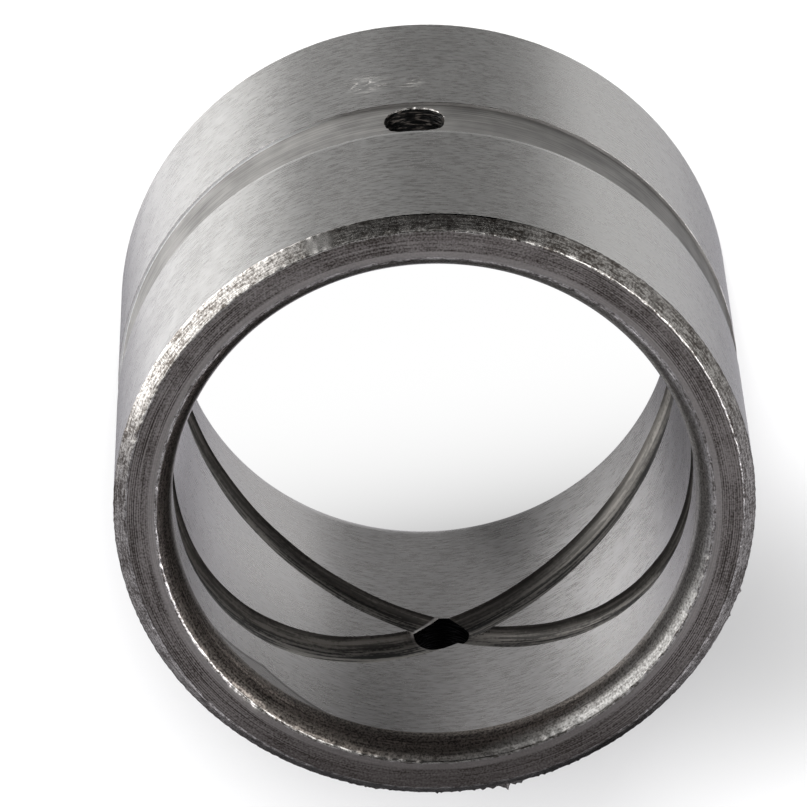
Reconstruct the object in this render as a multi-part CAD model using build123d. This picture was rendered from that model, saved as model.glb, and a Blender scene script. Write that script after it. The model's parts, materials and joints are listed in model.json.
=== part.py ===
"""Hardened steel pin bushing with crossed oil grooves.

The bushing stands on one end. +Z is its axis and z = 0 is the lower end face.
One oil hole opens towards -Y and the other, opposite it, towards +Y.
All lengths are in millimetres and all angles in degrees.
"""

import os
from math import cos, radians, sin, tan

from build123d import *

# Main sizes: the pin runs in the bore, and the outside is pressed into its boss
BORE_DIAMETER = 90.0
WALL = 10.0
LENGTH = 90.0

# Turned bevel round the outside of each end, which leads the bushing into its boss
BEVEL_LENGTH = 2.5
BEVEL_DEPTH = 2.1

# Rounded mouth of the bore at each end, which leads the pin in
MOUTH_LENGTH = 6.5
MOUTH_DEPTH = 2.8
MOUTH_RADIUS = 10.0

# Shallow grease channel round the outside, half way along
CHANNEL_WIDTH = 12.5
CHANNEL_DEPTH = 0.5

# Two radial oil holes, opposite each other, from the channel through to the bore
HOLE_DIAMETER = 10.0
HOLE_BREAK = 0.3

# Two wavy oil grooves round the bore, which cross beside each oil hole.
# The slope is the angle between a groove's side and the wall of the bore.
GROOVE_WIDTH = 9.0
GROOVE_DEPTH = 1.5
GROOVE_SLOPE = 30.0
GROOVE_SWING = 26.0
GROOVE_SHIFT = 1.5
GROOVE_POINTS = 16

BORE_RADIUS = BORE_DIAMETER / 2
OUTER_RADIUS = BORE_RADIUS + WALL
MIDDLE = LENGTH / 2


def turned_body():
    """One half section, revolved: bore, rounded mouths, end faces, bevels and grease channel."""
    mouth_radius = BORE_RADIUS + MOUTH_DEPTH
    face_radius = OUTER_RADIUS - BEVEL_DEPTH
    channel_radius = OUTER_RADIUS - CHANNEL_DEPTH
    channel_low = MIDDLE - CHANNEL_WIDTH / 2
    channel_high = MIDDLE + CHANNEL_WIDTH / 2

    with BuildPart() as body:
        with BuildSketch(Plane.XZ):
            with BuildLine():
                Polyline(
                    (mouth_radius, 0),
                    (face_radius, 0),
                    (OUTER_RADIUS, BEVEL_LENGTH),
                    (OUTER_RADIUS, channel_low),
                    (channel_radius, channel_low),
                    (channel_radius, channel_high),
                    (OUTER_RADIUS, channel_high),
                    (OUTER_RADIUS, LENGTH - BEVEL_LENGTH),
                    (face_radius, LENGTH),
                    (mouth_radius, LENGTH),
                )
                RadiusArc(
                    (mouth_radius, LENGTH),
                    (BORE_RADIUS, LENGTH - MOUTH_LENGTH),
                    -MOUTH_RADIUS,
                )
                Line((BORE_RADIUS, LENGTH - MOUTH_LENGTH), (BORE_RADIUS, MOUTH_LENGTH))
                RadiusArc((BORE_RADIUS, MOUTH_LENGTH), (mouth_radius, 0), -MOUTH_RADIUS)
            make_face()
        revolve(axis=Axis.Z)
    return body.part


def oil_holes():
    """A drill right across the middle, with a small countersink where it meets the channel."""
    floor_radius = OUTER_RADIUS - CHANNEL_DEPTH
    middle_plane = Plane((0, 0, MIDDLE), x_dir=(1, 0, 0), z_dir=(0, -1, 0))
    drill = middle_plane * Cylinder(HOLE_DIAMETER / 2, 2 * OUTER_RADIUS + 2 * HOLE_BREAK)
    sink = Cone(
        bottom_radius=HOLE_DIAMETER / 2,
        top_radius=HOLE_DIAMETER / 2 + 2 * HOLE_BREAK,
        height=2 * HOLE_BREAK,
    )
    near = middle_plane * Pos(0, 0, floor_radius) * sink
    far = middle_plane * Rot(0, 180, 0) * Pos(0, 0, floor_radius) * sink
    return drill + near + far


def groove_wave(radius, direction):
    """One sine wave to each turn of the bore, closed on itself, at the given radius."""
    points = []
    for index in range(GROOVE_POINTS):
        turn = radians(360 * index / GROOVE_POINTS)
        place = turn + radians(90 + GROOVE_SHIFT)
        rise = direction * GROOVE_SWING * sin(turn)
        points.append((radius * cos(place), radius * sin(place), MIDDLE + rise))
    return Spline(*points, periodic=True)


def oil_groove(direction):
    """A wedge carried along the wave, square to the axis, and cut off level by a round floor."""
    wave = groove_wave(BORE_RADIUS, direction)
    inner_wave = groove_wave(BORE_RADIUS - GROOVE_DEPTH, direction)
    slope = tan(radians(GROOVE_SLOPE))
    half_width = GROOVE_WIDTH / 2
    half_mouth = half_width + GROOVE_DEPTH / slope
    wedge = Polygon(
        (-GROOVE_DEPTH, -half_mouth),
        (half_width * slope, 0),
        (-GROOVE_DEPTH, half_mouth),
        align=None,
    )
    start = Plane(origin=wave @ 0, x_dir=wave @ 0 - inner_wave @ 0, z_dir=wave % 0)
    cutter = sweep(start * wedge, path=wave, binormal=inner_wave)
    return cutter & Pos(0, 0, MIDDLE) * Cylinder(BORE_RADIUS + GROOVE_DEPTH, LENGTH)


def bushing():
    """The turned body with its oil holes drilled and both oil grooves cut."""
    shape = turned_body() - oil_holes() - oil_groove(1) - oil_groove(-1)
    shape.label = "bushing"
    return shape


def main():
    os.makedirs("parts", exist_ok=True)
    shape = bushing()
    print("volume in cubic millimetres:", round(shape.volume))
    export_step(shape, "parts/bushing.step")


main()
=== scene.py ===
# %% [markdown]
# # A steel pin bushing with crossed oil grooves
#
# The real bushing is one thick ring of hardened steel. It is pressed into the arm of a digger and a pin
# turns in it. A lathe made its end faces, bevels and mouths, a grinder its outside, a hone its bore,
# and a milling cutter the two wavy grooves that spread grease over the pin.
#
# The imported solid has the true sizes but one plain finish. Here the ring is made again as one closed
# surface, so that every surface gets the marks of the tool that made it.

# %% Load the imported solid
import json
import math

import bpy
import numpy as np
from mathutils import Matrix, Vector


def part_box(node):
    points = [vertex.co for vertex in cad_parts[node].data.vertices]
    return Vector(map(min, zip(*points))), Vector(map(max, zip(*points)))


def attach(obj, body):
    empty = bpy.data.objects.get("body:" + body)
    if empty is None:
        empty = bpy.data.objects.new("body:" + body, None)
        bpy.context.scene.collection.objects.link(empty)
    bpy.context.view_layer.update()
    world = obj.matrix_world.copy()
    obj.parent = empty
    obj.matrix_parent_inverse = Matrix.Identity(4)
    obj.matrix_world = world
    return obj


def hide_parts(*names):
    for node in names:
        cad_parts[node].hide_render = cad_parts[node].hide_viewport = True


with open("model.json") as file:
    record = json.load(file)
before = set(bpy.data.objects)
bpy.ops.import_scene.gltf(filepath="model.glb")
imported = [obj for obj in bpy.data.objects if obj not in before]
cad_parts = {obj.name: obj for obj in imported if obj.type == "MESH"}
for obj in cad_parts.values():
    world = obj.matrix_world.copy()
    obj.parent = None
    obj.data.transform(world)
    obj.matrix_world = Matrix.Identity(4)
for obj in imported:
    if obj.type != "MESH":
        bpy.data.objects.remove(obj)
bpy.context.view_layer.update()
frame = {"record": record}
MM = 0.001

# %% [markdown]
# ## The main sizes
#
# The outside and the length are read from the solid, and the bore from its mount in the record. The
# other sizes are small features of the section, written once here. Everything is in millimetres until
# it becomes a mesh.

# %% Sizes of the section
bore_mount = next(mount for mount in frame["record"]["mounts"] if mount["name"] == "bore")
BORE = bore_mount["dims"]["r_mm"]
node_low, node_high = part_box("bushing")
OUTER = node_high.x / MM
LENGTH = (node_high.z - node_low.z) / MM
MIDDLE = LENGTH / 2
BEVEL_DEPTH, BEVEL_LENGTH = 2.1, 2.5
MOUTH_DEPTH, MOUTH_LENGTH, MOUTH_RADIUS = 2.8, 5.85, 7.5
CHANNEL_DEPTH, CHANNEL_WIDTH, CHANNEL_LEAN = 0.5, 12.5, 0.08
HOLE_RADIUS = 5.0
GROOVE_DEPTH = 1.5
print("bore radius", BORE, "outer radius", round(OUTER, 3), "length", round(LENGTH, 3))

# %% [markdown]
# ## The camera
#
# The picture was taken with a long lens from well above one end, so the far end looks hardly smaller
# than the near one. The lens, distance, angles and roll were found by fitting the edges of the faces.
# The roll of nearly half a turn puts +X at the left of the picture. The camera comes first, because
# every later choice is judged through it.

# %% Camera at the picture's angle
CAMERA_LENS = 316.7
CAMERA_AIM = np.array([4.53, 0.0, 44.36])
CAMERA_DISTANCE = 1254.05
CAMERA_AZIMUTH, CAMERA_ELEVATION, CAMERA_ROLL = np.radians([-0.455, 65.003, 177.406])

camera_back = np.array([
    math.sin(CAMERA_AZIMUTH) * math.cos(CAMERA_ELEVATION),
    -math.cos(CAMERA_AZIMUTH) * math.cos(CAMERA_ELEVATION),
    math.sin(CAMERA_ELEVATION),
])
level_right = np.cross([0, 0, 1], camera_back)
level_right /= np.linalg.norm(level_right)
level_up = np.cross(camera_back, level_right)
camera_right = math.cos(CAMERA_ROLL) * level_right + math.sin(CAMERA_ROLL) * level_up
camera_up = np.cross(camera_back, camera_right)

camera_matrix = np.eye(4)
camera_matrix[:3, :3] = np.stack([camera_right, camera_up, camera_back], axis=1)
camera_matrix[:3, 3] = (CAMERA_AIM + CAMERA_DISTANCE * camera_back) * MM

camera_data = bpy.data.cameras.new("camera")
camera_data.lens = CAMERA_LENS
camera_data.sensor_width = 36
camera_data.clip_end = 10
camera = bpy.data.objects.new("camera", camera_data)
bpy.context.scene.collection.objects.link(camera)
camera.matrix_world = camera_matrix.T.tolist()
bpy.context.scene.camera = camera
print("camera at", np.round(camera_matrix[:3, 3], 3), "m")

# %% [markdown]
# ## Unevenness that closes on itself
#
# No edge of a worn steel ring is a perfect circle. A sum of cosines round the ring, each with a random
# phase, wanders without a seam, because each cosine makes a whole number of waves in one turn. The
# random numbers come from a fixed seed, so that the ring is the same on each run.

# %% Wander round the ring
COLUMNS = 960
turns = np.arange(COLUMNS) * 2 * np.pi / COLUMNS


def wander(angles, slowest, fastest, size, seed):
    """The sum over n from slowest to fastest of cos(n * angle + phase), scaled to a spread of size."""
    chance = np.random.default_rng(seed)
    waves = np.arange(slowest, fastest + 1)
    phases = chance.uniform(0, 2 * np.pi, len(waves))
    strengths = chance.uniform(0.3, 1, len(waves))
    total = (strengths[:, None] * np.cos(waves[:, None] * angles + phases[:, None])).sum(0)
    return size * total / total.std()


print("spread of a test wander:", round(wander(turns, 3, 40, 0.1, 1).std(), 3), "mm")

# %% [markdown]
# ## The section of the ring
#
# The section is a closed loop in radius and height. It runs up the bore, out over the mouth and the
# end face, down the outside and back under. Each corner is a short row of points on a small curve,
# since a real corner has a radius that catches the light. A strip between two points knows which
# surface of the bushing it belongs to, and gets that surface's finish.

# %% Pieces of the section
SURFACES = ["bore", "mouth", "edge", "face", "bevel", "outside", "channel", "groove", "hole"]


def run(start, end, steps, surface):
    """Points on a straight line at even steps, without its last point, and the surface of each."""
    share = np.arange(steps)[:, None] / steps
    points = np.array(start) + share * (np.array(end) - np.array(start))
    return points, [surface] * steps


def bend(before, corner, after, reach, steps, surface):
    """The curve (1-t)^2 a + 2t(1-t) c + t^2 b, where a and b lie reach away from the corner c."""
    before, corner, after = np.array(before), np.array(corner), np.array(after)
    a = corner + reach * (before - corner) / np.linalg.norm(before - corner)
    b = corner + reach * (after - corner) / np.linalg.norm(after - corner)
    t = np.arange(steps)[:, None] / steps
    points = (1 - t) ** 2 * a + 2 * t * (1 - t) * corner + t**2 * b
    return points, [surface] * steps, b


def mouth_arc(steps, short, honed):
    """Points on the circle from the end of the bore to just short of the face, bulging inwards.

    The first strips may be honed with the bore, and then they have its finish."""
    low = np.array([BORE, LENGTH - MOUTH_LENGTH])
    high = np.array([BORE + MOUTH_DEPTH, LENGTH])
    chord = high - low
    half = np.linalg.norm(chord) / 2
    square = np.array([chord[1], -chord[0]]) / (2 * half)
    centre = (low + high) / 2 + square * math.sqrt(MOUTH_RADIUS**2 - half**2)
    first = math.atan2(*(low - centre)[::-1]) % (2 * np.pi)
    last = math.atan2(*(high - centre)[::-1]) % (2 * np.pi) + short / MOUTH_RADIUS
    angles = first + (last - first) * np.arange(steps) / steps
    points = centre + MOUTH_RADIUS * np.stack([np.cos(angles), np.sin(angles)], axis=1)
    end = centre + MOUTH_RADIUS * np.array([np.cos(last), np.sin(last)])
    return points, ["bore"] * honed + ["mouth"] * (steps - honed), end


print("the mouth starts at a height of", round(mouth_arc(4, 0, 0)[0][0][1], 2), "mm")

# %% [markdown]
# ## Half of the section, twice
#
# Both ends of the ring have the same shape, so the section is one half and its mirror image. The half
# that the picture shows gets more points. A row 1.2 mm below the shoulder of the bevel stays where it
# is when the shoulder moves, so that a burr there doesn't tilt the whole outside.

# %% The whole section
MOUTH_SHORT = 0.33
STILL_GAP = 1.2


def half_section(mouth_steps, face_steps, bevel_steps, bend_steps, honed, lip_reach):
    """The upper half of the loop, from the top of the bore to the middle of the channel."""
    face_in = (BORE + MOUTH_DEPTH, LENGTH)
    face_out = (OUTER - BEVEL_DEPTH, LENGTH)
    shoulder = (OUTER, LENGTH - BEVEL_LENGTH)
    still = (OUTER, LENGTH - BEVEL_LENGTH - STILL_GAP)
    lip = (OUTER, MIDDLE + CHANNEL_WIDTH / 2)
    foot = (OUTER - CHANNEL_DEPTH, MIDDLE + CHANNEL_WIDTH / 2 - CHANNEL_LEAN)
    middle = (OUTER - CHANNEL_DEPTH, MIDDLE)
    mouth, mouth_surfaces, mouth_end = mouth_arc(mouth_steps, MOUTH_SHORT, honed)
    bends = [
        # before, corner, after, reach of the curve, its steps and its surface
        bend(mouth_end, face_in, face_out, 0.32, bend_steps, "edge"),
        bend(face_in, face_out, shoulder, 0.24, bend_steps, "edge"),
        bend(face_out, shoulder, lip, 0.18, 2, "bevel"),
        bend(shoulder, still, lip, 0.1, 1, "outside"),
        bend(shoulder, lip, foot, lip_reach, 2, "edge"),
        bend(lip, foot, middle, 0.16, 2, "channel"),
    ]
    between = [(face_steps, "face"), (bevel_steps, "bevel")]
    between += [(1, "outside"), (1, "outside"), (1, "channel"), (1, "channel")]
    starts = [piece[0][0] for piece in bends[1:]] + [np.array(middle)]
    points, surfaces = [mouth], list(mouth_surfaces)
    for (curve, names, after), (steps, surface), start in zip(bends, between, starts):
        straight, straight_names = run(after, start, steps, surface)
        points += [curve, straight]
        surfaces += names + straight_names
    return np.concatenate(points), surfaces


top_points, top_surfaces = half_section(
    mouth_steps=9, face_steps=5, bevel_steps=6, bend_steps=4, honed=0, lip_reach=0.25
)
end_points, end_surfaces = half_section(
    mouth_steps=6, face_steps=1, bevel_steps=3, bend_steps=2, honed=4, lip_reach=0.06
)
middle_point = np.array([[OUTER - CHANNEL_DEPTH, MIDDLE]])
low_points = np.concatenate([end_points, middle_point])[::-1] * [1, -1] + [0, LENGTH]
section = np.concatenate([top_points, low_points])
strips = top_surfaces + end_surfaces[::-1] + ["bore"]
print(len(section), "points round the section")

# %% [markdown]
# ## The uneven edges
#
# Most of the bushing is true to a few hundredths of a millimetre, and the bore and the outside stay
# exact here. The corners were left as the tools cut them: each moves a little along its own direction,
# most at the corner itself and not at all a millimetre away. The bevel has the chatter of its tool.
#
# Handling left nicks in the rim of the face, dents in the lip of the mouth and chips in the lip of the
# channel. The tool left hairs of steel and a few burrs on the shoulder of the bevel. All of them are
# on the end that the picture shows, at their own angles round the ring.

# %% Corners that wander
radius = np.repeat(section[:, :1], COLUMNS, axis=1)
height = np.repeat(section[:, 1:], COLUMNS, axis=1)


def nearness(corner_radius, corner_height, reach):
    """One at the corner, falling along a bell curve with the distance across the section."""
    away = np.hypot(section[:, 0] - corner_radius, section[:, 1] - corner_height)
    return np.exp(-((away / reach) ** 2))[:, None]


for corner_height, inwards, chatter, seed in [(LENGTH, -1, 0.03, 10), (0.0, 1, 0.006, 20)]:
    rim = nearness(OUTER - BEVEL_DEPTH, corner_height, 0.45)
    lip = nearness(BORE + MOUTH_DEPTH, corner_height, 0.6)
    shoulder = nearness(OUTER, corner_height + inwards * BEVEL_LENGTH, 0.4)
    radius += rim * wander(turns, 4, 190, 0.05, seed)
    radius += lip * (wander(turns, 3, 180, 0.065, seed + 1) + wander(turns, 2, 9, 0.05, seed + 4))
    height += inwards * rim * np.abs(wander(turns, 20, 300, 0.05, seed + 2))
    height += inwards * lip * np.abs(wander(turns, 10, 160, 0.025, seed + 3))
    radius += shoulder * wander(turns, 30, 300, chatter, seed + 5)

# The rows of the near bevel, clear of the curves at its corners
in_bevel = (section[:, 0] > OUTER - BEVEL_DEPTH + 0.2) & (section[:, 0] < OUTER - 0.1)
for row in np.flatnonzero(in_bevel & (section[:, 1] > LENGTH - BEVEL_LENGTH)):
    radius[row] += wander(turns, 60, 300, 0.012, 100 + row)
rim_row = int(np.argmin(np.hypot(section[:, 0] - OUTER + BEVEL_DEPTH, section[:, 1] - LENGTH)))
print("the rim of the face wanders by", round(float(np.ptp(radius[rim_row])), 3), "mm")

# %% Nicks, dents, chips and burrs
# Each mark is an angle and a width in degrees, and a size in millimetres, outwards from the axis
NICKS = [(330.1, 0.5, -0.35), (22.0, 0.7, -0.12), (341.0, 0.6, -0.2)]
DENTS = [(43.5, 3.5, 0.3), (47.5, 1.2, 0.25), (40.0, 0.8, 0.2), (30.5, 1.2, 0.12), (128.0, 2.5, 0.15)]
DENT_LEAN = 0.6  # a dent moves the lip outwards and downwards by this much of its size
CHIPS = [
    (281.5, 0.5, -0.25), (284.0, 1.1, -0.3), (286.5, 0.5, -0.2), (301.0, 0.6, -0.15), (258.0, 0.5, -0.1),
]
BURRS = [
    (100.5, 0.35, 1.25), (99.7, 0.3, 0.5), (97.9, 0.5, 0.3), (103.0, 0.4, 0.45), (101.8, 0.3, 0.4),
    (96.2, 0.3, 0.3), (154.8, 0.22, 0.3), (160.0, 0.25, 0.45),
]
HAIRS_AT, HAIRS_REACH = 91, 25


def bumps(marks):
    """A sum of bell curves round the ring, each given as an angle, a width in degrees and a size."""
    total = 0 * turns
    for angle, width, size in marks:
        away = (np.degrees(turns) - angle + 180) % 360 - 180
        total = total + size * np.exp(-((away / width) ** 2))
    return total


hairs = np.clip(np.random.default_rng(7).normal(-0.05, 0.2, COLUMNS), 0, 0.45)
hairs *= np.exp(-(((np.degrees(turns) - HAIRS_AT) / HAIRS_REACH) ** 4))
radius += nearness(OUTER - BEVEL_DEPTH, LENGTH, 0.5) * bumps(NICKS)
mouth_lip = nearness(BORE + MOUTH_DEPTH, LENGTH, 0.6)
radius += DENT_LEAN * mouth_lip * bumps(DENTS)
height -= DENT_LEAN * mouth_lip * bumps(DENTS)
radius += nearness(OUTER, LENGTH - BEVEL_LENGTH, 0.35) * (bumps(BURRS) + hairs)
radius += nearness(OUTER, MIDDLE + CHANNEL_WIDTH / 2, 0.2) * bumps(CHIPS)
print(len(BURRS), "burrs, the longest out to a radius of", round(float(radius.max()), 2), "mm")

# %% [markdown]
# ## From a grid to a mesh
#
# A grid of points that closes both ways needs no list of faces: each point makes one four-sided face
# with its neighbours, and the neighbours' numbers come from shifting the whole table of point numbers
# by one row or one column.

# %% Grid to mesh


def closed_grid(name, points):
    """A mesh from rows x columns x 3 points in millimetres, closed along the rows and the columns."""
    rows, columns, _ = points.shape
    number = np.arange(rows * columns).reshape(rows, columns)
    after = np.roll(number, -1, axis=0)
    faces = np.stack(
        [number, after, np.roll(after, -1, axis=1), np.roll(number, -1, axis=1)], axis=-1
    ).reshape(-1, 4)
    mesh = bpy.data.meshes.new(name)
    mesh.from_pydata(points.reshape(-1, 3) * MM, [], faces)
    mesh.update()
    return mesh


def around_axis(radius, angles, height):
    """Points at x = radius cos(angle), y = radius sin(angle) and z = height."""
    return np.stack([radius * np.cos(angles), radius * np.sin(angles), height + 0 * angles], axis=-1)


ring_mesh = closed_grid("bushing_steel", around_axis(radius, turns[None, :], height))
ring = bpy.data.objects.new("bushing_steel", ring_mesh)
bpy.context.scene.collection.objects.link(ring)
print(len(ring_mesh.polygons), "faces in the plain ring")

# %% [markdown]
# ## Finishes as numbers, then as materials
#
# A cut gives the faces that it makes the cutter's material. So each surface has its material from the
# start, and the ring and its cutters share the same list.

# %% One empty material for each surface
# Each is named for how its steel was made, with what that gives the eye
FINISHES = {
    "bore": "honed_steel",  # bright, with long fine streaks
    # the mouth's rim also has a painted highlight at -X and -Y
    "mouth": "filmed_steel",  # a dark film, rubbed bright at the rim
    "edge": "worn_steel",  # a thin line that glints
    "face": "turned_steel",  # dull and brown, with fine rings
    "bevel": "torn_steel",  # coarse, with bright specks
    "outside": "bright_ground_steel",  # bright, with short streaks
    "channel": "rough_turned_steel",  # matt grey
    "groove": "milled_steel",  # dark, with lines along the groove
    # the holes' near black is painted shade
    "hole": "drilled_steel",  # nearly black
}
materials = {name: bpy.data.materials.new(FINISHES[name]) for name in SURFACES}


def wear(mesh, numbers):
    """Give the mesh every material, and each face the one whose number it has."""
    for material in materials.values():
        mesh.materials.append(material)
    mesh.polygons.foreach_set("material_index", np.asarray(numbers, dtype=np.int32))


wear(ring_mesh, np.repeat([SURFACES.index(name) for name in strips], COLUMNS))
print(len(materials), "materials,", len(set(strips)), "of them on the plain ring")

# %% [markdown]
# ## The oil grooves
#
# A cutter on a crank milled each groove while the bushing turned once, so the groove climbs and falls
# like a sine wave and closes on itself. Neither wave is quite true: the crank lags, and the groove is
# wider where the cutter bit deeper. The cutter here is a tube that closes both ways. Its outer side is
# the floor of the groove with the ridges that the cutter left, and its inner side lies in empty space.

# %% Lines and widths of the two grooves
GROOVE_STEPS = 720
groove_turns = np.arange(GROOVE_STEPS) * 2 * np.pi / GROOVE_STEPS


def rising_line(angles):
    """The middle of the ring + 26.4 sin(a) + 0.9 sin(2a) - 0.6, in millimetres, with a from +Y."""
    a = angles - np.radians(90)
    return MIDDLE + 26.4 * np.sin(a) + 0.9 * np.sin(2 * a) - 0.6


def falling_line(angles):
    """The middle of the ring - 25.4 sin(a) + 1.1 cos(a) - 1.1 sin(2a) + 0.5, with a from +Y."""
    a = angles - np.radians(90)
    return MIDDLE - 25.4 * np.sin(a) + 1.1 * np.cos(a) - 1.1 * np.sin(2 * a) + 0.5


def rising_width(angles):
    """8.5 - 1.5 sin(a) and a small wander, from 10 mm at +X to 7 mm at -X."""
    a = angles - np.radians(90)
    return 8.5 - 1.5 * np.sin(a) + wander(angles, 2, 30, 0.15, 31)


def falling_width(angles):
    """10.9 + 1.6 sin(a) and a small wander, from 9.3 mm at +X to 12.5 mm at -X."""
    a = angles - np.radians(90)
    return 10.9 + 1.6 * np.sin(a) + wander(angles, 2, 30, 0.15, 32)


reached = rising_line(groove_turns)
print("rising groove from", round(reached.min(), 1), "to", round(reached.max(), 1), "mm")

# %% Groove cutters
FLOOR_ROWS, BACK_ROWS = 15, 4
RIDGE_PLACES, RIDGE_HEIGHT, RIDGE_WIDTH = [-0.45, 0.05, 0.5], 0.07, 0.07
CUTTER_INSIDE = 1.5  # how far the cutter's inner side lies inside the wall of the bore


def groove_cutter(name, line, width, seed):
    """A ring tube: across goes from -1 to 1, the depth is 1 - |across|^2.6 with three small ridges."""
    across = np.linspace(-1, 1, FLOOR_ROWS)[:, None]
    middle, half = line(groove_turns), width(groove_turns) / 2
    bowl = GROOVE_DEPTH * (1 - np.abs(across) ** 2.6)
    ridges = 0
    for i, place in enumerate(RIDGE_PLACES):
        away = across - place - wander(groove_turns, 1, 9, 0.06, seed + i)
        ridges = ridges + RIDGE_HEIGHT * np.exp(-((away / RIDGE_WIDTH) ** 2))
    floor = BORE + bowl - ridges * (np.abs(across) < 0.95)
    side = middle + across * half
    back = np.linspace(1.15, -1.15, BACK_ROWS)[:, None]
    inside = BORE - CUTTER_INSIDE + 0 * back * groove_turns
    all_radius = np.concatenate([floor, inside])
    all_height = np.concatenate([side, middle + back * half])
    points = around_axis(all_radius[::-1], groove_turns[None, :], all_height[::-1])
    mesh = closed_grid(name, points)
    wear(mesh, np.full(len(mesh.polygons), SURFACES.index("groove")))
    cutter = bpy.data.objects.new(name, mesh)
    bpy.context.scene.collection.objects.link(cutter)
    return cutter


cutters = [
    groove_cutter("rising_cutter", rising_line, rising_width, 40),
    groove_cutter("falling_cutter", falling_line, falling_width, 50),
]
print("groove cutters with", [len(cutter.data.polygons) for cutter in cutters], "faces")

# %% [markdown]
# ## The oil holes
#
# A drill came in from the grease channel and left a torn edge. The cutter is a round bar whose radius
# wanders near the channel, so the edge of the hole is not a clean circle. The bar's bore end comes
# first in its table, and each end closes almost to a point.

# %% Hole cutters
HOLE_COLUMNS = 120
POINT = 0.001
HOLE_ROWS = [
    # how far from the axis, how wide, how torn, and the surface up to the next row
    (BORE - 3, POINT, 0, "hole"),
    (BORE - 3, HOLE_RADIUS, 0, "hole"),
    (50, HOLE_RADIUS, 0, "hole"),
    (OUTER - 0.8, HOLE_RADIUS + 0.2, 0.8, "edge"),
    (OUTER - 0.5, HOLE_RADIUS + 0.4, 2.2, "hole"),
    (OUTER + 1.5, HOLE_RADIUS + 0.4, 2.2, "hole"),
    (OUTER + 1.5, POINT, 0, "hole"),
]


def hole_cutter(name, side, seed):
    """A bar along Y with a broken edge near the channel.

    There its upper half is squarer: r / (|cos|^3 + |sin|^3)^(1/3)."""
    around = np.arange(HOLE_COLUMNS) * 2 * np.pi / HOLE_COLUMNS
    depth, wide, torn = (
        np.array([row[i] for row in HOLE_ROWS], dtype=float)[:, None] for i in range(3)
    )
    cos, sin = np.cos(around), np.sin(around)
    squarer = np.where(sin > 0, (np.abs(cos) ** 3 + np.abs(sin) ** 3) ** (-1 / 3), 1.0)
    size = wide * (1 + (squarer - 1) * (depth > OUTER - 1.1)) + torn * wander(around, 4, 24, 0.05, seed)
    points = np.stack([size * cos, side * depth + 0 * size, MIDDLE + size * sin], axis=-1)
    surfaces = [SURFACES.index(row[3]) for row in HOLE_ROWS]
    if side < 0:
        # the mirrored bar runs the other way, so that its faces still look outwards
        points, surfaces = points[::-1], surfaces[-2::-1] + surfaces[-1:]
    mesh = closed_grid(name, points)
    wear(mesh, np.repeat(surfaces, HOLE_COLUMNS))
    cutter = bpy.data.objects.new(name, mesh)
    bpy.context.scene.collection.objects.link(cutter)
    return cutter


cutters += [hole_cutter("front_cutter", -1, 60), hole_cutter("back_cutter", 1, 61)]
print(len(cutters), "cutters:", ", ".join(cutter.name for cutter in cutters))

# %% [markdown]
# ## The cuts
#
# The two grooves cross beside the holes, as in the real ring, so all four cuts are made in one shape.
# The quick solver that needs closed shapes is enough, because the ring and the cutters are closed.

# %% Cut the ring
for cutter in cutters:
    cut = ring.modifiers.new(cutter.name, "BOOLEAN")
    cut.operation = "DIFFERENCE"
    cut.solver = "MANIFOLD"
    cut.object = cutter

bpy.context.view_layer.update()
graph = bpy.context.evaluated_depsgraph_get()
cut_mesh = bpy.data.meshes.new_from_object(
    ring.evaluated_get(graph), preserve_all_data_layers=True, depsgraph=graph
)
ring.modifiers.clear()
ring.data = cut_mesh
for cutter in cutters:
    bpy.data.objects.remove(cutter)
cut_mesh.name = "bushing_steel"
print(len(cut_mesh.polygons), "faces after the cuts")

# %% [markdown]
# ## Directions of the surfaces
#
# The cuts leave long thin faces in the bore, and smoothing across them would show as faint fans in the
# polished steel. The bore and the outside are true cylinders, so there each corner's direction is
# worked out from the axis instead of from the faces.

# %% Smooth the shading
SHARP_ANGLE = 28
BORE_TOLERANCE = 0.02

cut_mesh.polygons.foreach_set("use_smooth", np.ones(len(cut_mesh.polygons), dtype=bool))
cut_mesh.set_sharp_from_angle(angle=math.radians(SHARP_ANGLE))

corners = len(cut_mesh.loops)
directions = np.zeros(corners * 3)
cut_mesh.corner_normals.foreach_get("vector", directions)
directions = directions.reshape(-1, 3)

corner_points = np.zeros(corners, dtype=np.int32)
cut_mesh.loops.foreach_get("vertex_index", corner_points)
places = np.zeros(len(cut_mesh.vertices) * 3)
cut_mesh.vertices.foreach_get("co", places)
places = places.reshape(-1, 3) / MM

face_materials = np.zeros(len(cut_mesh.polygons), dtype=np.int32)
cut_mesh.polygons.foreach_get("material_index", face_materials)
face_sizes = np.zeros(len(cut_mesh.polygons), dtype=np.int32)
cut_mesh.polygons.foreach_get("loop_total", face_sizes)
corner_materials = np.repeat(face_materials, face_sizes)

corner_places = places[corner_points]
corner_radius = np.hypot(corner_places[:, 0], corner_places[:, 1])
outwards = corner_places * [1, 1, 0] / corner_radius[:, None]
in_bore = (corner_materials == SURFACES.index("bore")) & (corner_radius < BORE + BORE_TOLERANCE)
on_outside = corner_materials == SURFACES.index("outside")
directions[in_bore] = -outwards[in_bore]
directions[on_outside] = outwards[on_outside]
cut_mesh.normals_split_custom_set(directions)
print("corners with a worked-out direction:", int(in_bore.sum() + on_outside.sum()), "of", corners)

# %% [markdown]
# ## A flat map for the grooves
#
# The marks in a groove follow it, so the groove needs a map of its own. One way is the distance round
# the bore in metres, with a jump between the grooves, so that they don't get the same marks. The other
# is the share of the way from the groove's middle line, at 0, to its sides, at -1 and 1.

# %% Groove map
MAP_JUMP = 5

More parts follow.
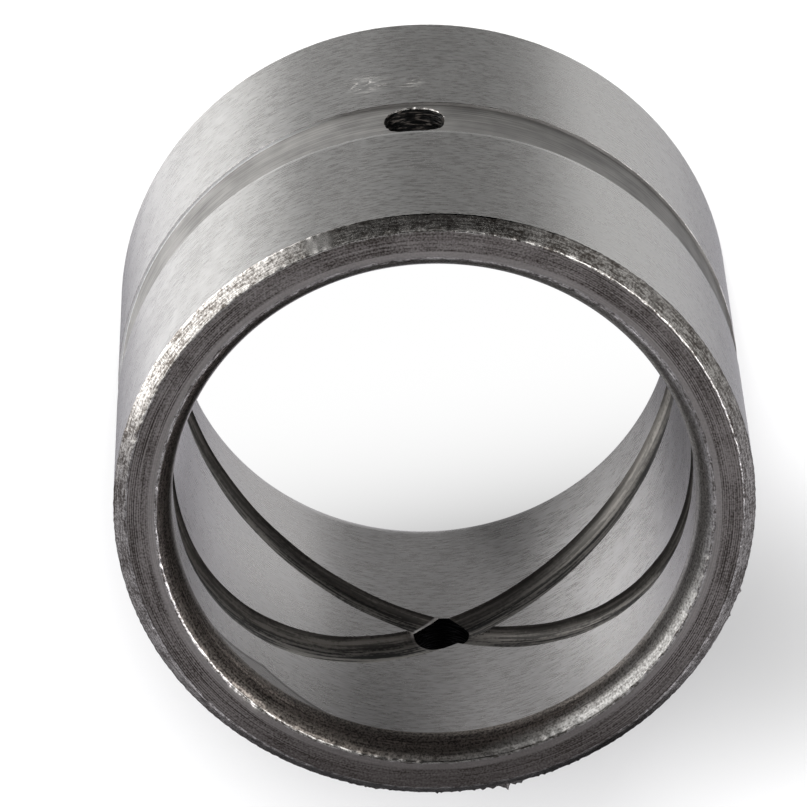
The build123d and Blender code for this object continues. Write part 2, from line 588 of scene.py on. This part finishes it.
corner_turn = np.arctan2(corner_places[:, 1], corner_places[:, 0])
from_rising = corner_places[:, 2] - rising_line(corner_turn)
from_falling = corner_places[:, 2] - falling_line(corner_turn)
share_rising = 2 * from_rising / rising_width(corner_turn)
share_falling = 2 * from_falling / falling_width(corner_turn)
on_rising = np.abs(share_rising) < np.abs(share_falling)
across_groove = np.where(on_rising, share_rising, share_falling)
along_groove = corner_turn * BORE * MM + np.where(on_rising, 0, MAP_JUMP)
groove_map = np.stack([along_groove, across_groove], axis=1)
uv = cut_mesh.uv_layers.new(name="groove_map")
uv.data.foreach_set("uv", groove_map.ravel())
print("the grooves' map covers", round(float(np.ptp(along_groove)), 2), "m along both")

# %% [markdown]
# ## A way to write materials
#
# A material is a small graph. One function adds a node with its settings and inputs and gives back one
# of its outputs, so that each material below reads as a list of what lies over what. A colour is
# written as it looks on a screen and turned to the linear values that the renderer adds up. Most marks
# are a second colour laid over the first within some limits, and every finish ends in the same metal.
#
# The scale of a noise is its marks per metre, written from its marks per millimetre. Real grit and
# grinding lines are finer than the picture can show, so they are drawn as coarse as they need to be.

# %% Helpers for materials


def linear(code):
    """An sRGB hex colour as linear red, green, blue and an alpha of one."""
    values = np.array([int(code[i:i + 2], 16) for i in (1, 3, 5)]) / 255
    bright = np.where(values <= 0.04045, values / 12.92, ((values + 0.055) / 1.055) ** 2.4)
    return (*bright.tolist(), 1.0)


def node(tree, kind, inputs=None, output=0, **settings):
    """Add a node, set it up, give each input a link, a value or a hex colour, and return an output."""
    made = tree.nodes.new("ShaderNode" + kind)
    for name, value in settings.items():
        setattr(made, name, value)
    for key, value in (inputs or {}).items():
        if isinstance(value, bpy.types.NodeSocket):
            tree.links.new(value, made.inputs[key])
        else:
            made.inputs[key].default_value = linear(value) if isinstance(value, str) else value
    return made.outputs[output] if made.outputs else None


def start(name):
    """The emptied graph of a surface's material, and the place on the ring, in metres."""
    materials[name].use_nodes = True
    tree = materials[name].node_tree
    tree.nodes.clear()
    return tree, node(tree, "TexCoord", output="Object")


def lay(tree, under, over, strength, *limits):
    """Lay one colour over another, at this strength where every value has reached its limit.

    A limit is a value, where it starts to count and where it counts in full. The limits multiply."""
    for value, begin, full in limits:
        strength = node(tree, "MapRange", {0: value, 1: begin, 2: full, 4: strength})
    return node(tree, "Mix", {"Factor": strength, "A": under, "B": over}, 2, data_type="RGBA")


def finish(tree, colour, roughness, marks, relief, depth_mm, more=()):
    """Link up a metal with this colour, whose marks seem to stand out by a depth in millimetres."""
    bump = node(tree, "Bump", {"Height": marks, "Strength": relief, "Distance": depth_mm * MM})
    inputs = {"Base Color": colour, "Metallic": 1.0, "Roughness": roughness, "Normal": bump}
    shader = node(tree, "BsdfPrincipled", {**inputs, **dict(more)})
    node(tree, "OutputMaterial", {"Surface": shader})


print("mid grey in linear light:", round(linear("#808080")[0], 3))

# %% [markdown]
# ## Marks that follow the lathe
#
# Every tool that touched this ring went round its axis, so nearly every mark is long round the axis and
# short across it. Noise is read at the point k cos t, k sin t, h / width, where t is the angle round
# the axis and h the height, or the radius on an end face. That stretches it without any seam.

# %% Noise round the axis


def lathe_marks(tree, mm_along, mm_across, detail, across="Z", **more):
    """Noise whose marks are mm_along long round the ring and mm_across wide over height or radius."""
    place = node(tree, "TexCoord", output="Object")
    flat = node(tree, "VectorMath", {0: place, 1: (1, 1, 0)}, operation="MULTIPLY")
    turn = node(tree, "VectorMath", {0: flat}, operation="NORMALIZE")
    if across == "radius":
        steps = node(tree, "VectorMath", {0: flat}, "Value", operation="LENGTH")
    else:
        steps = node(tree, "SeparateXYZ", {0: place}, across)
    steps = node(tree, "Math", {0: steps, 1: 1 / (mm_across * MM)}, operation="MULTIPLY")
    lifted = node(tree, "CombineXYZ", {"Z": steps})
    k = OUTER / mm_along
    point = node(tree, "VectorMath", {0: turn, 1: (k, k, k), 2: lifted}, operation="MULTIPLY_ADD")
    return node(tree, "TexNoise", {"Vector": point, "Scale": 1.0, "Detail": detail, **more})


print("a mark 2 mm long takes", round(math.degrees(2 / OUTER), 1), "degrees of the outside")

# %% [markdown]
# ## Ground steel
#
# A grinder finished the outside and a hone the bore. Both leave hardened steel bright, with streaks a
# few millimetres long and a fraction of one wide. The streaks scatter light along the axis but hardly
# round it, which is what the anisotropy says: a lamp becomes a bright band along the ring with sharp
# sides. They show best where the steel faces a plain dark part of the room, in front and behind, so
# there they are painted stronger.
#
# A few pits and scuffs keep it from looking like a drawing; the scuffs are painted pale, as glints. The
# near lip of the channel has a painted highlight in front and behind, and the hone left out a thin wedge
# of the bore beside its mouth, with a painted shade line where it stopped. At the far end, within
# 2.6 mm of the end face, the wall is a darker grey on its two sides.

# %% Ground steel
PITS_PER_MM = 0.095
# scuff lines, painted pale as glints
SCUFF_GLINTS = [(8.3, -54.4, 28.0, 5.5), (0.4, -55.0, 29.7, 3.0)]  # place and reach in millimetres
UNHONED = (31.3, 32.4, 79.8)  # the lowest place of the wedge that the hone left out


def ground_steel(name, light, dark, streak_mm, streak_strength):
    """Steel with streaks and clouds between two tones, pits, and the marks of its own surface."""
    tree, place = start(name)
    fine = lathe_marks(tree, streak_mm, 0.33, 2.0, Roughness=0.55)
    cloud = lathe_marks(tree, 9, 7, 5.0)
    both = node(tree, "Mix", {"Factor": 0.35, "A": fine, "B": cloud})
    low = node(tree, "SeparateXYZ", {0: place}, "Z")
    sideways = node(tree, "SeparateXYZ", {0: place}, "X")
    sideways = node(tree, "Math", {0: sideways}, operation="ABSOLUTE")
    colour = lay(tree, dark, light, 1.0, (both, 0.62, 0.38))
    # the streaks are painted stronger in front and behind, where the dark room would show them
    clear = node(tree, "MapRange", {0: sideways, 1: 0.03, 2: 0.012, 3: 0.05, 4: streak_strength})
    colour = lay(tree, colour, "#83807d", clear, (fine, 0.46, 0.62))

    metal = 1.0
    if name == "outside":
        # scuffs: torn lines near their places, painted pale as glints and a little less like metal than the
        # rest
        marked = 0.0
        for x, y, z, reach in SCUFF_GLINTS:
            centre = (x * MM, y * MM, z * MM)
            away = node(tree, "VectorMath", {0: place, 1: centre}, "Value", operation="DISTANCE")
            near = node(tree, "MapRange", {0: away, 1: reach * MM, 2: 0.3 * reach * MM})
            marked = node(tree, "Math", {0: marked, 1: near}, operation="MAXIMUM")
        torn = lathe_marks(tree, 4.5, 1.1, 1.0, Distortion=0.8)
        torn = node(tree, "Math", {0: torn, 1: 0.5}, operation="SUBTRACT")
        torn = node(tree, "Math", {0: torn}, operation="ABSOLUTE")
        scuff_glint = node(tree, "MapRange", {0: torn, 1: 0.035, 2: 0.012, 4: marked})
        colour = lay(tree, colour, "#e4e1dc", scuff_glint)
        metal = node(tree, "MapRange", {0: scuff_glint, 3: 1.0, 4: 0.72})

    # pits in the middles of some cells, picked by each cell's random colour, then a darker grey at the
    # sides of the far end
    cells = node(tree, "TexVoronoi", {"Vector": place, "Scale": PITS_PER_MM / MM})
    chance = node(tree, "SeparateXYZ", {0: cells.node.outputs["Color"]})
    some = node(tree, "Math", {0: chance, 1: 0.55}, operation="GREATER_THAN")
    colour = lay(tree, colour, "#3a3532", some, (cells, 0.024, 0.014))
    colour = lay(tree, colour, "#5a5653", 0.7, (sideways, 0.012, 0.03), (low, 0.0026, 0.0016))

    # a painted highlight along the near lip of the channel, or the wedge that the hone left out and the
    # painted shade line where it stopped
    if name == "outside":
        lip = MIDDLE + CHANNEL_WIDTH / 2
        colour = lay(
            tree, colour, "#f3f2f0", 0.7, (sideways, 0.034, 0.024),
            (low, (lip - 1.25) * MM, (lip - 0.25) * MM), (low, (lip + 1.1) * MM, (lip + 0.8) * MM),
        )
    else:
        x, y, z = UNHONED
        flat = node(tree, "VectorMath", {0: place, 1: (1, 1, 0)}, operation="MULTIPLY")
        centre = (x * MM, y * MM, 0)
        chord = node(tree, "VectorMath", {0: flat, 1: centre}, "Value", operation="DISTANCE")
        level = node(tree, "Math", {0: chord, 1: -0.35, 2: low}, operation="MULTIPLY_ADD")
        colour = lay(tree, colour, "#93908f", 0.8, (level, (z - 0.15) * MM, (z + 0.15) * MM))
        past = node(tree, "Math", {0: level, 1: z * MM}, operation="SUBTRACT")
        past = node(tree, "Math", {0: past}, operation="ABSOLUTE")
        colour = lay(tree, colour, "#4f4b49", 0.7, (past, 0.0006, 0.0002))

    rough = node(tree, "MapRange", {0: both, 1: 0.3, 2: 0.7, 3: 0.33, 4: 0.24})
    round_axis = node(tree, "Tangent", direction_type="RADIAL", axis="Z")
    streaky = {"Anisotropic": 0.8, "Anisotropic Rotation": 0.25, "Tangent": round_axis}
    finish(tree, colour, rough, fine, 0.2, 0.02, {"Metallic": metal, **streaky})


ground_steel("outside", "#cfcecc", "#bab8b6", 2.0, 0.62)
ground_steel("bore", "#cfcdcd", "#bcb9b8", 3.0, 0.42)
print("ground steel on the outside with", len(SCUFF_GLINTS), "scuffs, and in the bore")

# %% [markdown]
# ## Turned steel
#
# The lathe's feed left a spiral of fine rings on each end face, a third of a millimetre apart, and
# heat treatment left a brown film with blotches. Near the mouth a second cut left a lighter and
# smoother band. The back of the face, at +Y, is painted darker, as painted shade.

# %% The end faces
RING_PITCH = 0.375


def turned_face():
    """Rings sin(2 pi r / pitch) of uneven depth, blotches and grain, with a lighter inner band."""
    tree, place = start("face")
    flat = node(tree, "VectorMath", {0: place, 1: (1, 1, 0)}, operation="MULTIPLY")
    reach = node(tree, "VectorMath", {0: flat}, "Value", operation="LENGTH")
    slow = lathe_marks(tree, 22, 0.7, 2.0, "radius")
    feed = node(tree, "Math", {0: reach, 1: 2 * math.pi / (RING_PITCH * MM)}, operation="MULTIPLY")
    phase = node(tree, "Math", {0: slow, 1: 9.0, 2: feed}, operation="MULTIPLY_ADD")
    wave = node(tree, "Math", {0: phase}, operation="SINE")
    sideways = node(tree, "SeparateXYZ", {0: place}, "X")
    sideways = node(tree, "Math", {0: sideways}, operation="ABSOLUTE")
    clearer = node(tree, "MapRange", {0: sideways, 1: 0.015, 2: 0.038, 3: 0.15})
    depth = node(tree, "MapRange", {0: slow, 1: 0.38, 2: 0.6, 3: 0.42, 4: 0.06})
    depth = node(tree, "Math", {0: depth, 1: clearer}, operation="MULTIPLY")
    marks = node(tree, "Math", {0: wave, 1: depth, 2: 0.5}, operation="MULTIPLY_ADD")
    uneven = lathe_marks(tree, 16, 0.34, 2.0, "radius", Roughness=0.6)
    uneven = node(tree, "MapRange", {0: uneven, 1: 0.24, 2: 0.76})
    blotch = node(tree, "TexNoise", {"Vector": place, "Scale": 0.17 / MM, "Detail": 7.0, "Roughness": 0.72})
    grain = node(tree, "TexNoise", {"Vector": place, "Scale": 2.6 / MM, "Detail": 1.5})
    for share, other in [(0.42, uneven), (0.42, blotch), (0.35, grain)]:
        marks = node(tree, "Mix", {"Factor": share, "A": marks, "B": other})
    colour = lay(tree, "#544e4a", "#b5afab", 1.0, (marks, 0.41, 0.59))

    inner = node(tree, "Math", {0: blotch, 1: 0.0004, 2: reach}, operation="MULTIPLY_ADD")
    colour = lay(tree, colour, "#cac5c1", 0.6, (inner, (BORE + 4.5) * MM, (BORE + 4.25) * MM))
    # painted shade: the face is darker towards the back, at +Y
    back = node(tree, "SeparateXYZ", {0: place}, "Y")
    darkened_part = node(tree, "Math", {0: blotch, 1: 0.03, 2: back}, operation="MULTIPLY_ADD")
    colour = lay(tree, colour, "#45403c", 0.62, (darkened_part, 0.04, 0.068))
    rough = node(tree, "MapRange", {0: marks, 1: 0.35, 2: 0.65, 3: 0.45, 4: 0.34})
    finish(tree, colour, rough, marks, 0.4, 0.04)


turned_face()
print("rings on the end faces every", RING_PITCH, "mm")

# %% [markdown]
# ## Torn steel
#
# The bevels were cut fast, so the tool tore the steel instead of slicing it. The surface is a grain of
# small facets and short marks that glint one by one, with one painted glint, a pale patch, on the near
# bevel. The corners between the surfaces have the same steel, worn a little. Both are painted darker
# at the back, at +Y, as painted shade.

# %% The bevels and the worn edges
# a painted glint, a pale patch on the near bevel
GLINT_PATCH = (17.1, -51.2, 88.7, 5.6, 6.4)  # centre, then where the patch is full and where it ends


def torn_steel(name, light, dark, rough, depth_mm):
    """Coarse grain and short tool marks between two tones, with a bump that glints."""
    tree, place = start(name)
    grain = node(tree, "TexNoise", {"Vector": place, "Scale": 2.4 / MM, "Detail": 2.0, "Roughness": 0.6})
    marks = lathe_marks(tree, 3, 0.16, 2.0, "radius")
    blotch = node(tree, "TexNoise", {"Vector": place, "Scale": 0.3 / MM, "Detail": 4.0})
    both = node(tree, "Mix", {"Factor": 0.5, "A": grain, "B": marks})
    tone = node(tree, "Mix", {"Factor": 0.25, "A": both, "B": blotch})
    colour = lay(tree, dark, light, 1.0, (tone, 0.42, 0.58))
    x, y, z, full, end = (value * MM for value in GLINT_PATCH)
    away = node(tree, "VectorMath", {0: place, 1: (x, y, z)}, "Value", operation="DISTANCE")
    ragged = node(tree, "Math", {0: tone, 1: 0.008, 2: away}, operation="MULTIPLY_ADD")
    colour = lay(tree, colour, "#f1eeea", 0.8, (ragged, end, full))
    # painted shade: the bevels and the worn edges are darker at the back, at +Y
    back = node(tree, "SeparateXYZ", {0: place}, "Y")
    colour = lay(tree, colour, "#3a3633", 0.5, (back, 0.037, 0.048))
    finish(tree, colour, rough, both, 1.0, depth_mm)


torn_steel("bevel", "#efebe6", "#6f6862", 0.26, 0.016)
torn_steel("edge", "#f0ede9", "#6a645f", 0.24, 0.02)
print("torn steel on the bevels and the worn edges")

# %% [markdown]
# ## The mouths and the channel
#
# Each mouth of the bore keeps the dark film of the heat treatment deep down, and is rubbed bright
# towards the end face. Its bare steel is painted deeper at -X and -Y, as a painted highlight. The
# channel was turned with a blunt tool, so it is rougher than the ground steel beside it. Its far side
# has painted shade, with a painted highlight where X is high.

# %% The mouths of the bore


def rounded_mouth():
    """A dark film deep in the mouth that is worn to bright steel towards the end face."""
    tree, place = start("mouth")
    height = node(tree, "SeparateXYZ", {0: place}, "Z")
    height = node(tree, "Math", {0: height, 1: MIDDLE * MM}, operation="SUBTRACT")
    height = node(tree, "Math", {0: height}, operation="ABSOLUTE")
    wavy = lathe_marks(tree, 5, 6, 4.0)
    level = node(tree, "Math", {0: wavy, 1: 0.003, 2: height}, operation="MULTIPLY_ADD")
    # painted highlight: the bare steel reaches deeper towards -X and -Y
    for axis, lean in [("X", -0.085), ("Y", -0.025)]:
        side = node(tree, "SeparateXYZ", {0: place}, axis)
        level = node(tree, "Math", {0: side, 1: lean, 2: level}, operation="MULTIPLY_ADD")
    grain = node(tree, "TexNoise", {"Vector": place, "Scale": 2.6 / MM, "Detail": 2.0})
    rings = lathe_marks(tree, 10, 0.25, 2.0)
    marks = node(tree, "Mix", {"Factor": 0.4, "A": grain, "B": rings})
    film = lay(tree, "#443f3c", "#989089", 1.0, (marks, 0.4, 0.6))
    bare_and_glint = lay(tree, "#8c8986", "#dddbd8", 1.0, (marks, 0.4, 0.6))
    colour = lay(tree, film, bare_and_glint, 1.0, (level, (MIDDLE - 1.2) * MM, (MIDDLE + 1.6) * MM))
    rough = node(tree, "MapRange", {0: marks, 1: 0.3, 2: 0.7, 3: 0.36, 4: 0.26})
    finish(tree, colour, rough, marks, 0.6, 0.03)


rounded_mouth()
print("mouths with a film that is worn off near the faces")

# %% The grease channel


def turned_channel():
    """Rings by height between two greys, with painted shade by the lower wall and a painted highlight on it
    where X is high.
    """
    tree, place = start("channel")
    rings = lathe_marks(tree, 16, 0.3, 3.0)
    cloud = lathe_marks(tree, 6, 5, 4.0)
    both = node(tree, "Mix", {"Factor": 0.4, "A": rings, "B": cloud})
    colour = lay(tree, "#989694", "#c8c6c3", 1.0, (both, 0.38, 0.62))
    left, up = (node(tree, "SeparateXYZ", {0: place}, axis) for axis in "XZ")
    # painted shade along the far, lower wall where X is low
    colour = lay(tree, colour, "#6c6763", 0.35, (up, 0.0408, 0.039), (left, 0.03, 0.01))
    # a painted highlight on the lower wall where X is high
    colour = lay(tree, colour, "#ffffff", 1.0, (up, 0.0392, 0.039), (left, 0.012, 0.026))
    finish(tree, colour, 0.7, rings, 0.4, 0.03)


turned_channel()
print("channel with turned rings")

# %% [markdown]
# ## Milled grooves and drilled holes
#
# The milling cutter dragged chips along the grooves, and old oil dried in them. They are dark with
# lighter lines that run along each groove, so their noise is read from the groove's own flat map. A
# groove has a painted highlight along its upper side, a little painted light on its lower half, and a
# thin painted shade line along its lower side. The grooves are darker at -X, just below the middle of
# the ring. Where the drill came through, its rim has a painted glint at +X, below the middle.
#
# The holes are painted darker still, as painted shade, with faint rings from the drill that only the front
# one shows.

# %% Grooves and holes


def milled_groove():
    """Lines along the groove from its flat map, darker at -X below the hole, with painted light and shade
    by its sides.
    """
    tree, place = start("groove")
    flat = node(tree, "UVMap", uv_map="groove_map")
    stretched = node(tree, "VectorMath", {0: flat, 1: (1 / (14 * MM), 6, 1)}, operation="MULTIPLY")
    lines = node(tree, "TexNoise", {"Vector": stretched, "Scale": 1.0, "Detail": 3.0, "Roughness": 0.6})
    grain = node(tree, "TexNoise", {"Vector": place, "Scale": 1.5 / MM, "Detail": 3.0})
    both = node(tree, "Mix", {"Factor": 0.2, "A": lines, "B": grain})
    dirt_and_painted_light = lay(tree, "#171614", "#86827d", 1.0, (both, 0.46, 0.55))
    # a painted highlight along the upper side of the groove
    upper = lay(tree, "#56534f", "#c8c4be", 1.0, (both, 0.44, 0.54))
    darker_tones = lay(tree, "#080706", "#6e6a66", 1.0, (both, 0.47, 0.57))

    left, up = (node(tree, "SeparateXYZ", {0: place}, axis) for axis in "XZ")
    stretch = [(left, 0.004, -0.006), (left, -0.044, -0.034)]
    # darker between X = -34 and -6 mm, below the middle of the ring
    darkened_part = node(tree, "MapRange", {0: up, 1: 0.048, 2: 0.045, 3: 0.4})
    dirt_and_painted_light = lay(tree, dirt_and_painted_light, darker_tones, darkened_part, *stretch)
    fainter = node(tree, "Math", {0: darkened_part, 1: 0.55}, operation="MULTIPLY")
    upper = lay(tree, upper, darker_tones, fainter, *stretch)

    share = node(tree, "SeparateXYZ", {0: flat}, "Y")
    # painted light on the lower half of the groove
    dirt_and_painted_light = lay(tree, dirt_and_painted_light, "#bab6b0", 0.3, (share, -0.2, -0.7))
    ragged = node(tree, "Math", {0: lines, 1: 0.8, 2: share}, operation="MULTIPLY_ADD")
    colour = lay(tree, dirt_and_painted_light, upper, 1.0, (ragged, 0.6, 0.95))
    # a thin painted shade line along the lower side of the groove
    colour = lay(tree, colour, "#1f1c1a", 0.6, (share, -0.8, -0.92))

    from_hole = {0: place, 1: (1, 0, 1), 2: (0, 0, -MIDDLE * MM)}
    from_hole = node(tree, "VectorMath", from_hole, operation="MULTIPLY_ADD")
    from_hole = node(tree, "VectorMath", {0: from_hole}, "Value", operation="LENGTH")
    # a painted glint on the rim of the hole at +X, below the middle
    bare_and_glint = node(tree, "MapRange", {0: up, 1: 0.0462, 2: 0.0446, 3: 0.15})
    colour = lay(tree, colour, "#f4f1ee", bare_and_glint, (from_hole, 0.0057, 0.0053), (left, -0.002, 0.0))
    finish(tree, colour, 0.42, lines, 0.7, 0.05)


def drilled_hole():
    """Rings along the hole's own axis, Y, on painted shade: nearly black, and quite black in the hole at
    the back.
    """
    tree, place = start("hole")
    squeezed = node(tree, "VectorMath", {0: place, 1: (0.5 / MM, 2.6 / MM, 0.5 / MM)}, operation="MULTIPLY")
    rings = node(tree, "TexNoise", {"Vector": squeezed, "Scale": 1.0, "Detail": 2.0})
    back = node(tree, "SeparateXYZ", {0: place}, "Y")
    # painted shade: the holes are nearly black, blacker at the back
    colour = lay(tree, "#050505", "#4f4a46", 1.0, (rings, 0.53, 0.65), (back, 0.01, -0.01))
    metal = node(tree, "MapRange", {0: back, 1: 0.01, 2: -0.01, 3: 1.0, 4: 0.6})
    finish(tree, colour, 0.4, rings, 1.0, 0.5, {"Metallic": metal})


milled_groove()
drilled_hole()
print("finishes made:", ", ".join(SURFACES))

# %% [markdown]
# ## Light
#
# Bare steel is the picture of what stands round it, so the studio is built as a few soft panels in an
# even grey room. Each panel is a window of direction: so many degrees wide round the horizon, and from
# one height to another. The lower half of the room is what the outside and the bore show, because the
# camera looks down and a wall sends its view on downwards. A panel below zero stands for a black
# screen, which gives steel its dark bands. The light from the back is a little bluer.

# %% Studio round the bushing
world = bpy.data.worlds.new("studio")
bpy.context.scene.world = world
world.use_nodes = True
world.cycles.sampling_method = "NONE"
sky = world.node_tree
sky.nodes.clear()
towards = node(sky, "TexCoord", output="Generated")
upwards, backwards = (node(sky, "SeparateXYZ", {0: towards}, axis) for axis in "ZY")
rise = node(sky, "Math", {0: upwards}, operation="ARCSINE")
level = node(sky, "VectorMath", {0: towards, 1: (1, 1, 0)}, operation="MULTIPLY")
level = node(sky, "VectorMath", {0: level}, operation="NORMALIZE")


def window(value, low, high, soft, strength):
    """The strength between two angles in degrees and zero outside them, with soft sides."""
    low, high, soft = np.radians([low, high, soft]).tolist()
    smooth = {"interpolation_type": "SMOOTHSTEP"}
    over_low = node(sky, "MapRange", {0: value, 1: low - soft, 2: low + soft, 4: strength}, **smooth)
    limits = {0: value, 1: high - soft, 2: high + soft, 3: over_low, 4: 0.0}
    return node(sky, "MapRange", limits, **smooth)


ROOM = 0.3
SOFT_HEIGHT = 5
PANELS = [
    # azimuth from -Y towards +X, half width, soft side, lowest, highest, strength
    (65, 26, 10, -46, -2, 2.7),
    (65, 26, 10, -2, 40, 1.0),
    (97, 33, 7, -100, -46, 0.62),
    (-86, 34, 11, -100, -46, 0.55),
    (-168, 20, 9, -100, -50, 0.9),
    (-76, 40, 8, 30, 58, 2.2),
    (0, 50, 25, -100, -46, 0.08),
    (32, 20, 12, -100, -46, 0.13),
    (162, 14, 7, -100, -46, 0.2),
    (-62, 70, 15, -46, -20, -0.2),
    (126, 30, 12, -46, -26, -0.2),
    (0, 32, 12, -40, 24, -0.27),
    (0, 35, 12, 42, 76, -0.27),
    (182, 27, 10, -46, -22, -0.25),
    (-150, 20, 8, -46, -14, -0.06),
    (180, 26, 12, -14, 30, -0.15),
    (-148, 7, 5, -6, 14, 0.7),
    (152, 7, 5, -6, 14, 0.9),
]

total = ROOM
for azimuth, half_width, soft, lowest, highest, strength in PANELS:
    facing = (math.sin(math.radians(azimuth)), -math.cos(math.radians(azimuth)), 0)
    beside = node(sky, "VectorMath", {0: level, 1: facing}, "Value", operation="DOT_PRODUCT")
    turn = node(sky, "Math", {0: beside}, operation="ARCCOSINE")
    wide = window(turn, -90, half_width, soft, strength)
    panel = window(rise, lowest, highest, SOFT_HEIGHT, wide)
    total = node(sky, "Math", {0: total, 1: panel}, operation="ADD")

bluer = lay(sky, (1, 1, 1, 1), (1, 0.985, 1.06, 1), 1.0, (backwards, -0.02, 0.3))
panels = node(sky, "Background", {"Color": bluer, "Strength": total})
white = node(sky, "Background", {"Color": (1, 1, 1, 1), "Strength": 1.0})
seen = node(sky, "LightPath", output="Is Camera Ray")
mixed = node(sky, "MixShader", {0: seen, 1: panels, 2: white})
node(sky, "OutputWorld", {"Surface": mixed})
print(len(PANELS), "panels in a room at level", ROOM)

# %% [markdown]
# ## Key lamp
#
# One round lamp high in front gives the soft shadow that lies behind the ring. Its size sets how soft
# the edge of the shadow is, and its direction keeps most of the shadow under the ring. The steel does
# not mirror it, because a second bright spot would break the bands that the panels make.

# %% Key lamp
KEY_AZIMUTH, KEY_ELEVATION, KEY_DISTANCE = math.radians(4), math.radians(58), 1.1
KEY_SIZE, KEY_WATTS = 0.5, 20

key_data = bpy.data.lights.new("key", "AREA")
key_data.shape = "DISK"
key_data.size = KEY_SIZE
key_data.energy = KEY_WATTS
key = bpy.data.objects.new("key", key_data)
bpy.context.scene.collection.objects.link(key)
key_back = Vector((
    math.sin(KEY_AZIMUTH) * math.cos(KEY_ELEVATION),
    -math.cos(KEY_AZIMUTH) * math.cos(KEY_ELEVATION),
    math.sin(KEY_ELEVATION),
))
key.visible_glossy = False
key.location = Vector((0, 0, MIDDLE * MM)) + KEY_DISTANCE * key_back
key.rotation_mode = "QUATERNION"
key.rotation_quaternion = key_back.to_track_quat("Z", "Y")
print("key lamp at", [round(value, 2) for value in key.location], "m")

# %% [markdown]
# ## Floor
#
# The floor is white paper. To the camera it adds its own glow to the lamp's light, so it comes out
# white where the lamp reaches it and pale grey in the lamp's shadow. A painted shadow darkens it close
# to the ring at one side, where its glow is also painted weaker. Seen down the bore it is only glow,
# with painted shade towards the wall. Steel sees the room through the paper, and a little less of it
# through the far end of the bore, where a grey sheet seen only by steel is painted shade for the real
# ring closing off the light from its left.

# %% Floor
FLOOR_REACH, FLOOR_DROP = 4.0, 0.00002
floor_mesh = bpy.data.meshes.new("floor")
square = np.array([(-1, -1), (1, -1), (1, 1), (-1, 1)]) * FLOOR_REACH
floor_mesh.from_pydata([(x, y, -FLOOR_DROP) for x, y in square], [], [(0, 1, 2, 3)])
floor = bpy.data.objects.new("floor", floor_mesh)
bpy.context.scene.collection.objects.link(floor)
floor_material = bpy.data.materials.new("floor_paper")
floor_mesh.materials.append(floor_material)
floor_material.use_nodes = True
print("floor", 2 * FLOOR_REACH, "m wide")

# %% White paper with a soft shade
UNDER_RING = (BORE + OUTER) / 2 * MM
# the centre and reach of a painted shadow on the paper
SHADE_CENTRE, SHADE_REACH = (-0.068, 0.074, 0), 0.044
SHADOW_WAY = (-0.8, 0.6, 0)  # the way along which the glow of the paper falls off

paper = floor_material.node_tree
paper.nodes.clear()
place = node(paper, "TexCoord", output="Object")
left, back = (node(paper, "SeparateXYZ", {0: place}, axis) for axis in "XY")
away = node(paper, "VectorMath", {0: place}, "Value", operation="LENGTH")
inside = node(paper, "Math", {0: away, 1: UNDER_RING}, operation="LESS_THAN")
to_camera, to_steel = (node(paper, "LightPath", output=f"Is {ray} Ray") for ray in ("Camera", "Glossy"))

# a painted shadow: the paper is darker near one side of the ring
from_shade = node(paper, "VectorMath", {0: place, 1: SHADE_CENTRE}, "Value", operation="DISTANCE")
shaded = {0: from_shade, 1: SHADE_REACH, 2: 0.002, 3: 0.0, 4: 0.39}
shaded = node(paper, "MapRange", shaded, interpolation_type="SMOOTHSTEP")
matte = node(paper, "BsdfDiffuse", {"Color": lay(paper, "#c8c8c8", (0, 0, 0, 1), shaded)})
# painted shadow: the glow is weaker towards the side of the shadow
behind = node(paper, "VectorMath", {0: place, 1: SHADOW_WAY}, "Value", operation="DOT_PRODUCT")
lift = node(paper, "MapRange", {0: behind, 1: 0.062, 2: 0.085, 3: 0.31, 4: 0.22})
lift = node(paper, "Math", {0: to_camera, 1: lift}, operation="MULTIPLY")
glow = node(paper, "Emission", {"Color": (1, 1, 1, 1), "Strength": lift})
open_paper = node(paper, "AddShader", {0: matte, 1: glow})

# painted shade: seen down the bore, the glow dims towards the wall
towards_wall = node(paper, "Math", {0: left, 1: -0.12, 2: back}, operation="MULTIPLY_ADD")
near_wall = node(paper, "MapRange", {0: towards_wall, 1: 0.008, 2: 0.047})
curve = node(paper, "Math", {0: near_wall, 1: 3.0}, operation="POWER")
dim = node(paper, "Math", {0: curve, 1: -0.37, 2: 1.0}, operation="MULTIPLY_ADD")
bore_paper = node(paper, "Emission", {"Color": (1, 1, 1, 1), "Strength": dim})
by_place = node(paper, "MixShader", {0: inside, 1: open_paper, 2: bore_paper})

# a painted grey sheet under the bore, seen only by the steel, stands for shade
shade = node(paper, "MapRange", {0: left, 1: -0.008, 2: 0.001, 3: 0.36, 4: 0.93})
shade = node(paper, "Mix", {"Factor": inside, "A": 1.0, "B": shade})
tint = node(paper, "CombineXYZ", {0: shade, 1: shade, 2: shade})
through = node(paper, "BsdfTransparent", {"Color": tint})
by_ray = node(paper, "MixShader", {0: to_steel, 1: by_place, 2: through})
node(paper, "OutputMaterial", {"Surface": by_ray})
print("paper of", len(paper.nodes), "nodes")

# %% [markdown]
# ## Hand the ring over
#
# The ring takes the place of the imported solid and moves with the same body. The colours are shown as
# they are, with no film look.

# %% The ring in the frame
bpy.context.scene.view_settings.view_transform = "Standard"
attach(ring, "root")
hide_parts("bushing")

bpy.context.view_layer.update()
ring.data.calc_loop_triangles()
